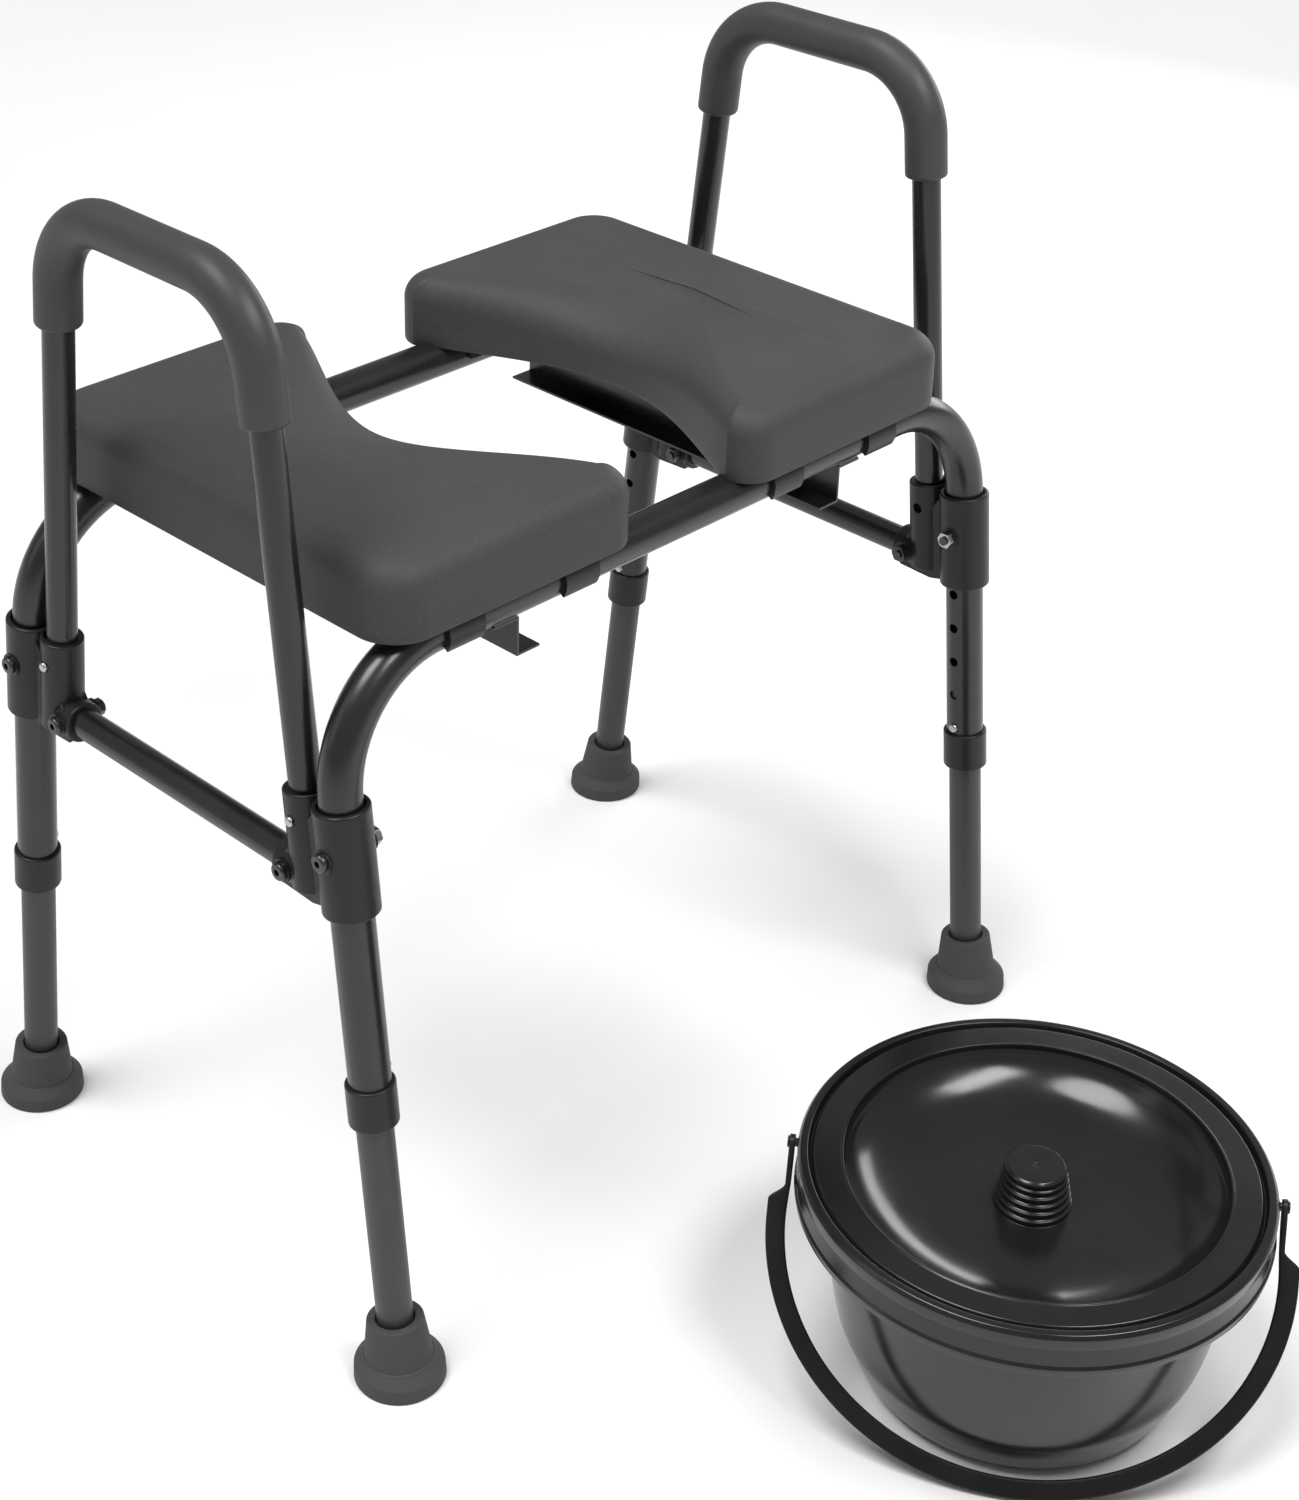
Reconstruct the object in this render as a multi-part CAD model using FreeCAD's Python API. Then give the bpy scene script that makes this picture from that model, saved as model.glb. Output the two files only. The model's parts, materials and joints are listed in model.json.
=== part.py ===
import FreeCAD, Part
import math
import os

# Commode chair with its pail. Millimetres, +Z up, the chair's front faces -Y and the
# sitter's left is +X. The chair is drawn about its own centre line, then every piece is
# moved by SET_SHIFT so that the whole set, chair and pail, is centred on the origin.

V = FreeCAD.Vector

# --- driving dimensions ---
TUBE_R = 12.7            # frame tube, 1 inch outside
TUBE_WALL = 1.5
RAIL_Z = 463.0           # centre of the front and rear rails
RAIL_Y = 136.0           # centre of a rail from the middle of the chair
LEG_X = 276.5            # centre of a leg from the middle of the chair
BEND_R = 76.0            # centre-line bend radius of the frame tube
LEAN = math.radians(6.0)
TAN, COS, SIN = math.tan(LEAN), math.cos(LEAN), math.sin(LEAN)
LEG_Y0 = RAIL_Y + RAIL_Z * TAN
HOLE_PITCH = 25.4
HOLE_COUNT = 5
HOLE_Z = 213.0           # lowest height-setting hole
HOLE_R = 3.35
LEG_END_Z = 187.0        # lower end of the frame tube
INNER_R, INNER_WALL = 11.1, 1.4
INNER_TOP_Z, INNER_END_Z = 245.0, 10.0
COLLAR_R, COLLAR_Z0, COLLAR_Z1 = 15.0, 181.0, 208.0
FOOT_R, FOOT_NECK_R, FOOT_H = 28.0, 17.2, 41.5
FOOT_SKIRT_R, FOOT_SKIRT_Z = 20.8, 14.6   # where the cone meets the base
SLEEVE_R, SLEEVE_Z0, SLEEVE_Z1 = 16.8, 320.0, 386.5
SOCKET_R, SOCKET_Z0, SOCKET_Z1 = 13.4, 322.5, 385.0
SOCKET_STEP = 30.0       # leg axis to handle axis, along Y
WEB_T = 18.0             # web that joins sleeve and sockets
THIN_R, THIN_WALL = 9.525, 1.2   # 3/4 inch tube of the handles and side braces
HANDLE_END_Z, HANDLE_TOP_Z = 355.0, 670.0
HANDLE_CORNER_Y, HANDLE_BEND_R = LEG_Y0 - SOCKET_STEP - HANDLE_TOP_Z * TAN, 51.0
GRIP_R, GRIP_Z = 14.0, 597.0
SNAP_Z = 368.0           # handle snap button
BOLT_Z = 358.0
BRACE_Z, BRACE_END_Y = 331.0, 120.0
BRACE_SOCKET_R, BRACE_SOCKET_Y, BRACE_BOLT_Y = 13.0, 97.0, 107.0
BOLT_R, BOLT_HEAD_R, BOLT_HEAD_H = 3.0, 5.6, 3.3
BOSS_R, SLEEVE_SEAT, BRACE_SEAT = 7.2, 17.4, 14.0   # bolt bosses and their faces from the leg's axis
NUT_FLATS, NUT_H = 10.0, 5.0
PAD_X0, PAD_X1, PAD_Y0, PAD_Y1 = 46.0, 240.0, -156.0, 166.0
PAD_Z0, PAD_Z1 = 473.0, 520.0
PAD_CUT = 52.0           # depth of the inner cut-out
PAD_SLIDE = -8.0         # both pads have slid along the tubes towards the sitter's right
BOARD_Z0, BOARD_Z1, BOARD_INSET = 479.0, 487.0, 12.0
CLIP_X, CLIP_W, CLIP_T = (90.0, 180.0), 27.0, 3.0
CLIP_BORE_R = TUBE_R + 0.06
SCREW_R, SCREW_DX, SCREW_Y = 1.7, (-7.0, 7.0), 115.0
PAIL_RAIL_X, PAIL_RAIL_T = 140.5, 1.5
PAIL_RAIL_Z0, PAIL_RAIL_Y0, PAIL_RAIL_Y1 = 425.0, -142.6, 137.5
TOP_FLANGE, LOW_FLANGE = 20.0, 16.5
PAIL_AT = V(-1.6, -434.2, 0.0)
PAIL_TURN = -55.5        # direction of the bail's pivot line, degrees from +X
PAIL_RIM_R, PAIL_RING_R, PAIL_H, PAIL_WALL = 138.6, 139.6, 150.0, 2.5   # rim, ring under it
PIVOT_Z, PIVOT_R, PIVOT_CAP_R, EYE_R = 143.0, 2.6, 3.6, 4.6
BAIL_REACH, BAIL_W, BAIL_T = 181.0, 11.5, 4.0
BAIL_HALF, BAIL_DROP = 147.0, 42.0   # half the strap's span, and where its arc starts below the pivots
BAIL_TAB = (140.3, 143.7)            # inner and outer face of the narrow tabs
BAIL_REST = 38.6         # degrees from hanging straight down to standing on the floor
SET_SHIFT = V(0.0, 186.7, 0.0)

UP = V(0, SIN, COS)      # up along a front leg
X, Y, Z = V(1, 0, 0), V(0, 1, 0), V(0, 0, 1)


def on_leg(z):
    """Centre of the front-left leg at height z."""
    return V(LEG_X, -(LEG_Y0 - z * TAN), z)


def on_socket(z):
    """Centre of the front-left handle tube at height z."""
    return on_leg(z) + V(0, SOCKET_STEP, 0)


def rod(r, z0, z1, centre=on_leg):
    """A cylinder along the leg's or the handle's axis between two heights."""
    return Part.makeCylinder(r, (z1 - z0) / COS, centre(z0), UP)


def cross(r, x0, x1, y, z):
    """A cylinder along X."""
    return Part.makeCylinder(r, x1 - x0, V(x0, y, z), X)


def box(x0, x1, y0, y1, z0, z1):
    return Part.makeBox(x1 - x0, y1 - y0, z1 - z0, V(x0, y0, z0))


def sweep(wire, r):
    """A round bar of radius r along a wire."""
    edge = wire.OrderedEdges[0]
    start = wire.OrderedVertexes[0].Point
    at = edge.Curve.parameter(start)
    ring = Part.Wire(Part.makeCircle(r, start, edge.tangentAt(at)))
    return wire.makePipeShell([ring], True, False)


def pipe(wire, r, wall):
    return sweep(wire, r).cut(sweep(wire, r - wall))


def bent(points, radii):
    """A wire through points, its inner corners rounded to radii."""
    edges, last = [], points[0]
    for a, b, c, r in zip(points, points[1:], points[2:], radii):
        u, w = (a - b).normalize(), (c - b).normalize()
        half = u.getAngle(w) / 2
        reach = r / math.tan(half)
        p, q = b + u * reach, b + w * reach
        mid = b + (u + w).normalize() * (r / math.sin(half) - r)
        edges += [Part.makeLine(last, p), Part.Arc(p, mid, q).toShape()]
        last = q
    edges.append(Part.makeLine(last, points[-1]))
    return Part.Wire(edges)


def prism(points, direction):
    """A face through points, pushed along a vector."""
    return Part.Face(Part.makePolygon(points + [points[0]])).extrude(direction)


def turned(points, centre=V(0, 0, 0)):
    """A solid of revolution about a vertical line, from (radius, height) points."""
    loop = Part.makePolygon([V(r, 0, z) for r, z in points] + [V(points[0][0], 0, points[0][1])])
    solid = Part.Face(loop).revolve(V(0, 0, 0), Z, 360)
    solid.translate(centre)
    return solid


def tilt_to_leg(shape, z):
    """Move a shape drawn about Z at the origin to the front-left leg at height z."""
    shape.rotate(V(0, 0, 0), X, -math.degrees(LEAN))
    shape.translate(on_leg(z))
    return shape


def at_corner(shape, left, front):
    """Mirror a front-left shape to another corner."""
    if not left:
        shape = shape.mirror(V(0, 0, 0), X)
    if not front:
        shape = shape.mirror(V(0, 0, 0), Y)
    return shape


def rounded(shape, r, pick):
    """Fillet the edges that pick() accepts."""
    return shape.makeFillet(r, [e for e in shape.Edges if pick(e)])


def hexagon(flats, x0, x1, y, z):
    """A hexagonal bar along X, flats across."""
    r = flats / math.sqrt(3)
    corners = [V(x0, y + r * math.cos(math.radians(60 * k)), z + r * math.sin(math.radians(60 * k)))
               for k in range(6)]
    return prism(corners, V(x1 - x0, 0, 0))


# --- frame tubes: front rail bending down into both legs ---
def rail_tube():
    foot = on_leg(LEG_END_Z)
    corner = on_leg(RAIL_Z)
    other = [V(-p.x, p.y, p.z) for p in (corner, foot)]
    tube = pipe(bent([foot, corner] + other, [BEND_R, BEND_R]), TUBE_R, TUBE_WALL)
    for side in (1, -1):
        x = side * LEG_X
        for k in range(HOLE_COUNT):
            z = HOLE_Z + k * HOLE_PITCH
            a, b = sorted((x - side * 14.5, x - side * 7.0))
            tube = tube.cut(cross(HOLE_R, a, b, on_leg(z).y, z))
        tube = tube.cut(cross(BOLT_R + 0.1, x - 15, x + 15, on_leg(BOLT_Z).y, BOLT_Z))
    return tube


# --- connectors ---
def handle_bore():
    """Room for the handle's end, widened along the straight lift."""
    low, high = HANDLE_END_Z - 0.5, SOCKET_Z1 + 4
    r = THIN_R + 0.1
    a, b = on_socket(low), on_socket(high)
    c = V(a.x, a.y, high)
    wedge = prism([p + V(-r, 0, 0) for p in (a, b, c)], V(2 * r, 0, 0))
    upright = Part.makeCylinder(r, high - low, a, Z)
    return rod(r, low, high, on_socket).fuse([upright, wedge])


def connector():
    sleeve = rounded(rod(SLEEVE_R, SLEEVE_Z0, SLEEVE_Z1), 1.5, lambda e: e.Length > 60)
    socket = rounded(rod(SOCKET_R, SOCKET_Z0, SOCKET_Z1, on_socket), 1.2, lambda e: e.Length > 60)
    reach = -on_socket(BRACE_Z).y - BRACE_SOCKET_Y + 4
    arm = Part.makeCylinder(BRACE_SOCKET_R, reach, V(LEG_X, -BRACE_SOCKET_Y, BRACE_Z), V(0, -1, 0))
    arm = rounded(arm, 1.2, lambda e: e.Length > 60 and abs(e.CenterOfMass.y + BRACE_SOCKET_Y) < 1)
    web = [V(LEG_X - WEB_T / 2, y, z) for y, z in
           ((-150, 323), (-128, 317.5), (-102, 318.5), (-102, 336), (-132, 381), (-142, 381))]
    body = sleeve.fuse([socket, arm, prism(web, V(WEB_T, 0, 0))])
    bolt_y = on_leg(BOLT_Z).y
    body = body.fuse([cross(BOSS_R, LEG_X - SLEEVE_SEAT, LEG_X + SLEEVE_SEAT, bolt_y, BOLT_Z),
                      cross(BOSS_R, LEG_X - BRACE_SEAT, LEG_X + BRACE_SEAT, -BRACE_BOLT_Y, BRACE_Z)])
    body = body.cut(rod(TUBE_R + 0.08, SLEEVE_Z0 - 5, SLEEVE_Z1 + 5))
    body = body.cut(rod(TUBE_R + 1.3, SLEEVE_Z1 - 4, SLEEVE_Z1 + 5))
    brace_end = -BRACE_SOCKET_Y + 5
    body = body.cut(Part.makeCylinder(THIN_R + 0.08, brace_end + BRACE_END_Y + 0.5,
                                      V(LEG_X, brace_end, BRACE_Z), V(0, -1, 0)))
    body = body.cut(handle_bore())
    body = body.cut(cross(BOLT_R + 0.1, LEG_X - 20, LEG_X + 20, bolt_y, BOLT_Z))
    body = body.cut(cross(BOLT_R + 0.1, LEG_X - 20, LEG_X + 20, -BRACE_BOLT_Y, BRACE_Z))
    return body.cut(cross(HOLE_R + 0.25, LEG_X - 20, LEG_X + 20, on_socket(SNAP_Z).y, SNAP_Z))


def bolt(reach, y, z):
    """A button-head bolt along X with its hex socket, head on the outer side."""
    seat = LEG_X + reach
    head = rounded(cross(BOLT_HEAD_R, seat, seat + BOLT_HEAD_H, y, z), 1.6,
                   lambda e: e.Length > 30 and e.CenterOfMass.x > seat + 1)
    shank = cross(BOLT_R, LEG_X - reach - NUT_H - 1.5, seat, y, z)
    return head.fuse(shank).cut(hexagon(4, seat + 1.3, seat + 4, y, z))


def nut(reach, y, z):
    """A hexagon nut on the inner side, its corners turned off."""
    x0, x1 = LEG_X - reach - NUT_H, LEG_X - reach
    body = hexagon(NUT_FLATS, x0, x1, y, z).common(cross(NUT_FLATS * 0.545, x0, x1, y, z))
    return body.cut(cross(BOLT_R + 0.02, x0 - 1, x1 + 1, y, z))


def brace():
    tube = Part.makeCylinder(THIN_R, 2 * BRACE_END_Y, V(LEG_X, -BRACE_END_Y, BRACE_Z), Y)
    tube = tube.cut(Part.makeCylinder(THIN_R - THIN_WALL, 2 * BRACE_END_Y,
                                      V(LEG_X, -BRACE_END_Y, BRACE_Z), Y))
    for y in (-BRACE_BOLT_Y, BRACE_BOLT_Y):
        tube = tube.cut(cross(BOLT_R + 0.1, LEG_X - 12, LEG_X + 12, y, BRACE_Z))
    return tube


# --- legs ---
def collar():
    body = rounded(rod(COLLAR_R, COLLAR_Z0, COLLAR_Z1), 1.2, lambda e: e.Length > 60)
    body = body.cut(rod(TUBE_R + 0.05, LEG_END_Z - 0.2, COLLAR_Z1 + 3))
    return body.cut(rod(INNER_R + 0.1, COLLAR_Z0 - 3, LEG_END_Z + 1))


def inner_leg():
    tube = rod(INNER_R, INNER_END_Z, INNER_TOP_Z).cut(rod(INNER_R - INNER_WALL, 0, INNER_TOP_Z + 5))
    y = on_leg(HOLE_Z).y
    return tube.cut(cross(HOLE_R, LEG_X - 14, LEG_X - 6, y, HOLE_Z))


def foot():
    """A flat round base under a cone that stands along the leg."""
    base = turned([(0, 0), (FOOT_R - 1.5, 0), (FOOT_R - 0.3, 0.8), (FOOT_R, 2.4), (FOOT_R - 0.6, 9),
                   (FOOT_R - 1.8, 10.5), (FOOT_SKIRT_R + 1.2, FOOT_SKIRT_Z), (0, FOOT_SKIRT_Z)], on_leg(0))
    base.translate(V(0, 6 * TAN, 0))
    height = (FOOT_H - FOOT_SKIRT_Z + 6) / COS
    neck = Part.makeCone(FOOT_SKIRT_R, FOOT_NECK_R, height, on_leg(FOOT_SKIRT_Z - 6), UP)
    neck = rounded(neck, 1.5, lambda e: e.Length > 60 and e.CenterOfMass.z > 30)
    mouth = rod(INNER_R + 0.8, FOOT_H - 3, FOOT_H + 5)
    bore = rod(INNER_R + 0.02, INNER_END_Z - 1.8, FOOT_H + 5)
    return base.fuse(neck).cut(bore).cut(mouth)


def foot_washer():
    return rod(10.6, INNER_END_Z - 1.7, INNER_END_Z - 0.1)


def spring_strip(inner, side, drop):
    """A V of spring strip inside a tube, one arm behind the button; drawn about the tube's centre."""
    t, w = 0.6, 7.0
    a, b = side * (inner - 3.6), -side * (inner - 2.4)
    outside = [(a, 8), (a, 8 - drop), (side, -drop), (-side, -drop), (b, 8 - drop), (b, 8)]
    inside = [(b + side * t, 8), (b + side * t, 8.3 - drop), (-side * 0.7, 0.8 - drop),
              (side * 0.7, 0.8 - drop), (a - side * t, 8.3 - drop), (a - side * t, 8)]
    return prism([V(x, -w / 2, z) for x, z in outside + inside], V(0, w, 0))


def pin(x0, x1, y, z):
    """A snap button along X with a domed tip at x1 and a flange at x0."""
    side = 1 if x1 > x0 else -1
    tip = cross(HOLE_R - 0.1, min(x0, x1), max(x0, x1), y, z)
    tip = rounded(tip, 1.8, lambda e: abs(e.CenterOfMass.x - x1) < 0.2 and e.Length > 15)
    edge = x0 + side * 1.0
    return tip.fuse(cross(4.4, min(x0, edge), max(x0, edge), y, z))


def leg_spring():
    return tilt_to_leg(spring_strip(INNER_R - INNER_WALL, -1, 17), HOLE_Z)


def leg_button():
    y = on_leg(HOLE_Z).y
    return pin(LEG_X - 6.2, LEG_X - 15.0, y, HOLE_Z)


# --- handles, drawn on the left side ---
def handle_line():
    foot = on_socket(HANDLE_END_Z)
    corner = V(LEG_X, -HANDLE_CORNER_Y, HANDLE_TOP_Z)
    return [foot, corner, V(LEG_X, -corner.y, corner.z), V(LEG_X, -foot.y, foot.z)]


def handle_tube():
    tube = pipe(bent(handle_line(), [HANDLE_BEND_R] * 2), THIN_R, THIN_WALL)
    y = on_socket(SNAP_Z).y
    for s in (y, -y):
        tube = tube.cut(cross(HOLE_R, LEG_X + 6, LEG_X + 12, s, SNAP_Z))
    return tube


def grip():
    line = handle_line()
    low = on_socket(GRIP_Z)
    short = [low, line[1], line[2], V(LEG_X, -low.y, low.z)]
    wire = bent(short, [HANDLE_BEND_R] * 2)
    body = sweep(wire, GRIP_R)
    body = rounded(body, 2.0, lambda e: e.Length > 80 and abs(e.CenterOfMass.z - GRIP_Z) < 1)
    return body.cut(sweep(wire, THIN_R + 0.04))


def handle_springs():
    """Both strips of one handle."""
    strip = spring_strip(THIN_R - THIN_WALL, 1, 12)
    strip = tilt_to_leg(strip, SNAP_Z)
    strip.translate(V(0, SOCKET_STEP, 0))
    return Part.makeCompound([strip, strip.mirror(V(0, 0, 0), Y)])


def handle_button():
    return pin(LEG_X + 4.8, LEG_X + 15.6, on_socket(SNAP_Z).y, SNAP_Z)


# --- pail rails ---
def pail_rail():
    """A Z section: top flange outward under the tubes, low flange inward."""
    x, t = PAIL_RAIL_X, PAIL_RAIL_T
    z1 = RAIL_Z - TUBE_R
    profile = [(x - LOW_FLANGE, PAIL_RAIL_Z0), (x + t, PAIL_RAIL_Z0), (x + t, z1 - t),
               (x + TOP_FLANGE, z1 - t), (x + TOP_FLANGE, z1), (x, z1),
               (x, PAIL_RAIL_Z0 + t), (x - LOW_FLANGE, PAIL_RAIL_Z0 + t)]
    return prism([V(a, PAIL_RAIL_Y0, b) for a, b in profile], V(0, PAIL_RAIL_Y1 - PAIL_RAIL_Y0, 0))


def rail_welds():
    """Beads in the wedge between the top flanges and the tubes, in flat facets."""
    out, low = [], RAIL_Z - TUBE_R
    r, turns = TUBE_R + 0.03, [math.radians(a) for a in (8, 15, 22, 30)]
    for side in (1, -1):
        x = side * (PAIL_RAIL_X + 1)
        for centre, inward in ((-RAIL_Y, -1), (RAIL_Y, -1)):
            facets = [V(x, centre + inward * r * math.sin(a), RAIL_Z - r * math.cos(a)) for a in turns]
            foot_line = [V(x, facets[-1].y, low), V(x, facets[0].y, low)]
            out.append(prism(facets + foot_line, V(side * (TOP_FLANGE - 2), 0, 0)))
    return Part.makeCompound(out)


# --- seat pads, drawn on the left side ---
def pad_outline(inset, funnel=0.0):
    """Points round one pad, its sides moved in by inset; funnel opens the cut-out further."""
    x0, x1, y0, y1 = PAD_X0 + inset, PAD_X1 - inset, PAD_Y0 + inset, PAD_Y1 - inset
    mid, nose, r = (PAD_Y0 + PAD_Y1) / 2, max(7.0, 22 - 0.8 * inset), max(10.0, 28 - 0.8 * inset)
    pts = []
    for k in range(1, 18):
        y = y0 + nose + k * (y1 - y0 - 2 * nose) / 18
        swell = max(0.0, math.cos(math.pi * (y - mid) / 290.0)) ** 1.2
        pts.append((x0 + (PAD_CUT + funnel) * swell, y))
    corners = ((x0 + nose, y1 - nose, nose, 180), (x1 - r, y1 - r, r, 90),
               (x1 - r, y0 + r, r, 0), (x0 + nose, y0 + nose, nose, -90))
    between = ([(110, y1), (160, y1)], [(x1, 80), (x1, 5), (x1, -70)], [(160, y0), (110, y0)], [])
    for (cx, cy, size, start), run in zip(corners, between):
        for k in range(7):
            a = math.radians(start - 15 * k)
            pts.append((cx + size * math.cos(a), cy + size * math.sin(a)))
        pts += run
    return pts


def ring_wire(points, z):
    curve = Part.BSplineCurve()
    curve.interpolate([V(x, y, z) for x, y in points], PeriodicFlag=True)
    return Part.Wire(curve.toShape())


def slab(inset, z0, z1):
    face = Part.Face(ring_wire(pad_outline(inset), z0))
    return face.extrude(V(0, 0, z1 - z0))


def pad_foam():
    levels = ((PAD_Z0, 0.8, 0.0), (PAD_Z0 + 2, 0.0, 0.0), (499.0, 0.3, 5.0), (504.0, 1.4, 6.5),
              (508.5, 3.4, 8.0), (512.5, 6.4, 9.5), (516.0, 10.5, 11.0), (518.6, 15.0, 12.5),
              (PAD_Z1, 20.0, 14.0))
    body = Part.makeLoft([ring_wire(pad_outline(i, f), z) for z, i, f in levels], True, True)
    body = body.cut(slab(BOARD_INSET - 0.1, PAD_Z0 - 5, BOARD_Z1))
    for y in (-RAIL_Y, RAIL_Y):
        body = body.cut(Part.makeCylinder(TUBE_R + 0.5, 400, V(0, y, RAIL_Z), X))
        for x in CLIP_X:
            groove = Part.makeCylinder(TUBE_R + CLIP_T + 0.5, CLIP_W + 1, V(x - CLIP_W / 2 - 0.5, y, RAIL_Z), X)
            body = body.cut(groove)
    return body


def pad_board():
    body = slab(BOARD_INSET, BOARD_Z0, BOARD_Z1)
    for x in CLIP_X:
        for dx in SCREW_DX:
            for y in (-SCREW_Y, SCREW_Y):
                hole = Part.makeCylinder(SCREW_R + 0.05, BOARD_Z1 - BOARD_Z0, V(x + dx, y, BOARD_Z0 - 1), Z)
                body = body.cut(hole)
    return body


def clip(x):
    """A hook round the tube from outside with a flat for two screws."""
    y, r = -RAIL_Y, CLIP_BORE_R
    ring = Part.makeCylinder(r + CLIP_T, CLIP_W, V(x - CLIP_W / 2, y, RAIL_Z), X)
    ring = ring.cut(Part.makeCylinder(r, CLIP_W, V(x - CLIP_W / 2, y, RAIL_Z), X))
    far, low = 40.0, math.radians(35)
    gap = [V(x - CLIP_W / 2, y, RAIL_Z), V(x - CLIP_W / 2, y - far, RAIL_Z - far * math.tan(low)),
           V(x - CLIP_W / 2, y - far, RAIL_Z - 60), V(x - CLIP_W / 2, y + far, RAIL_Z - 60),
           V(x - CLIP_W / 2, y + far, RAIL_Z - 3)]
    ring = ring.cut(prism(gap, V(CLIP_W, 0, 0)))
    plate = box(x - CLIP_W / 2, x + CLIP_W / 2, y - 8, y + 28, RAIL_Z + r, BOARD_Z0)
    plate = plate.cut(Part.makeCylinder(r, 60, V(x - 30, y, RAIL_Z), X))
    body = ring.fuse(plate)
    for dx in SCREW_DX:
        body = body.cut(Part.makeCylinder(SCREW_R + 0.1, 20, V(x + dx, -SCREW_Y, RAIL_Z + 5), Z))
    return body.common(box(x - 30, x + 30, y - 40, y + 40, RAIL_Z - 30, BOARD_Z0))


def pad_clips():
    front = [clip(x) for x in CLIP_X]
    return Part.makeCompound(front + [c.mirror(V(0, 0, 0), Y) for c in front])


def clip_screws():
    """Slotted countersunk screws from below, up into the board."""
    out, seat = [], RAIL_Z + CLIP_BORE_R
    for x in CLIP_X:
        for dx in SCREW_DX:
            for y in (-SCREW_Y, SCREW_Y):
                head = Part.makeCone(2.4, 3.4, 2.2, V(x + dx, y, seat - 2.2), Z)
                head = head.cut(box(x + dx - 3, x + dx + 3, y - 0.4, y + 0.4, seat - 3, seat - 1.2))
                shank = Part.makeCylinder(SCREW_R, BOARD_Z1 - 1.1 - seat, V(x + dx, y, seat), Z)
                out.append(head.fuse(shank))
    return Part.makeCompound(out)


# --- pail, drawn about Z with the bail's pivots on X ---
PAIL_WALL_LINE = ((84, 0), (90, 1.6), (95, 6.5), (100, 17), (105, 29), (109.6, 41), (113.6, 60),
                  (117, 84), (120, 108), (121.6, 120), (122.8, 138))


def pail():
    """Swelling wall under a rim whose skirt flares to the ring that rests on the rails."""
    outer = list(PAIL_WALL_LINE)
    inner = [(r - PAIL_WALL * (1.0 if z > 8 else 0.6), max(z, PAIL_WALL)) for r, z in outer][1:]
    r, ring = PAIL_RIM_R, PAIL_RING_R
    rim = [(123, 142), (r - 5, 142), (ring - 4.6, 130), (ring - 3.4, 122.5), (ring - 0.6, 122.5), (ring, 123.4),
           (ring, 127), (ring - 1, 128.2), (r - 1.8, 139.5), (r - 0.2, 141), (r, 142.5), (r - 0.3, 147.5),
           (r - 1.8, 149.5), (r - 3, PAIL_H), (131.6, PAIL_H), (131.2, 145.2), (120.3, 145.2)]
    loop = [(0, 0)] + outer + rim + inner[::-1] + [(0, PAIL_WALL)]
    body = turned(loop)
    near, far = BAIL_TAB
    for side in (1, -1):
        start = V(side * (r - 3), 0, PIVOT_Z)
        stub = Part.makeCylinder(PIVOT_R, far + 1.2 - r + 3, start, V(side, 0, 0))
        cap = Part.makeCylinder(PIVOT_CAP_R, 1.0, V(side * (far + 0.2), 0, PIVOT_Z), V(side, 0, 0))
        body = body.fuse([stub, cap])
    return body


def pail_lid():
    top = [(0, 122.4), (84, 122.4), (93, 124.2), (101, 129), (107, 136.5), (110.6, 145), (112.2, 148.4),
           (113.6, 149.4), (130.0, 149.4), (130.8, 148.8), (130.8, 145.4)]
    under = [(112, 145.4), (109.2, 143), (105.2, 137.6), (99.6, 131), (92.2, 126.6), (84, 124.9 - 4.9),
             (0, 120.0)]
    body = turned(top + under)
    knob = [(0, 121)]
    for k in range(5):
        r, z = 23.0 - 0.95 * k, 122.0 + 4.8 * k
        knob += [(r, z), (r - 0.2, z + 3.2), (r - 1.8, z + 3.6), (r - 1.9, z + 4.7)]
    knob += [(18.9, 146.2), (18.7, 148.4), (17.6, 149.8), (16, 150.4), (3, 150.4), (2.6, 149.6), (0, 149.6)]
    return body.fuse(turned(knob))


def bail_edge(offset):
    """One edge of the strap in its own plane, half an ellipse below the tabs."""
    a, b = BAIL_HALF + offset, BAIL_REACH - BAIL_DROP - BAIL_W / 2 + offset
    turns = [math.radians(7.5 * k) for k in range(25)]
    return [V(a * math.cos(t), 0, -(BAIL_DROP + b * math.sin(t))) for t in turns]


def pail_bail():
    """Strap hanging straight down from the pivots, then swung out to the floor."""
    half = BAIL_W / 2
    curves = []
    for offset in (half, -half):
        pts = bail_edge(offset)
        c = Part.BSplineCurve()
        c.interpolate(pts, InitialTangent=V(0, 0, -1), FinalTangent=V(0, 0, 1))
        curves.append((c.toShape(), pts))
    (e0, p0), (e1, p1) = curves
    wire = Part.Wire([e0, Part.makeLine(p0[-1], p1[-1]), e1, Part.makeLine(p1[0], p0[0])])
    strap = Part.Face(wire).extrude(V(0, BAIL_T, 0))
    strap.translate(V(0, -BAIL_T / 2, 0))
    parts = []
    for side in (1, -1):
        near, far = BAIL_TAB
        x = [side * v for v in (near, far, far, BAIL_HALF + half, BAIL_HALF + half, BAIL_HALF - half, near)]
        z = [0, 0, -24, -34, -44, -44, -34]
        tab = prism([V(a, -BAIL_T / 2, b) for a, b in zip(x, z)], V(0, BAIL_T, 0))
        a, b = sorted((side * near, side * far))
        eye = box(a, b, -EYE_R, EYE_R, -20, 0).fuse(cross(EYE_R, a, b, 0, 0))
        parts += [tab, eye]
    body = strap.fuse(parts).cut(cross(PIVOT_R + 0.08, -160, 160, 0, 0))
    body.rotate(V(0, 0, 0), X, -BAIL_REST)
    body.translate(V(0, 0, PIVOT_Z))
    return body


def place_pail(shape):
    shape.rotate(V(0, 0, 0), Z, PAIL_TURN)
    shape.translate(PAIL_AT)
    return shape


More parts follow.
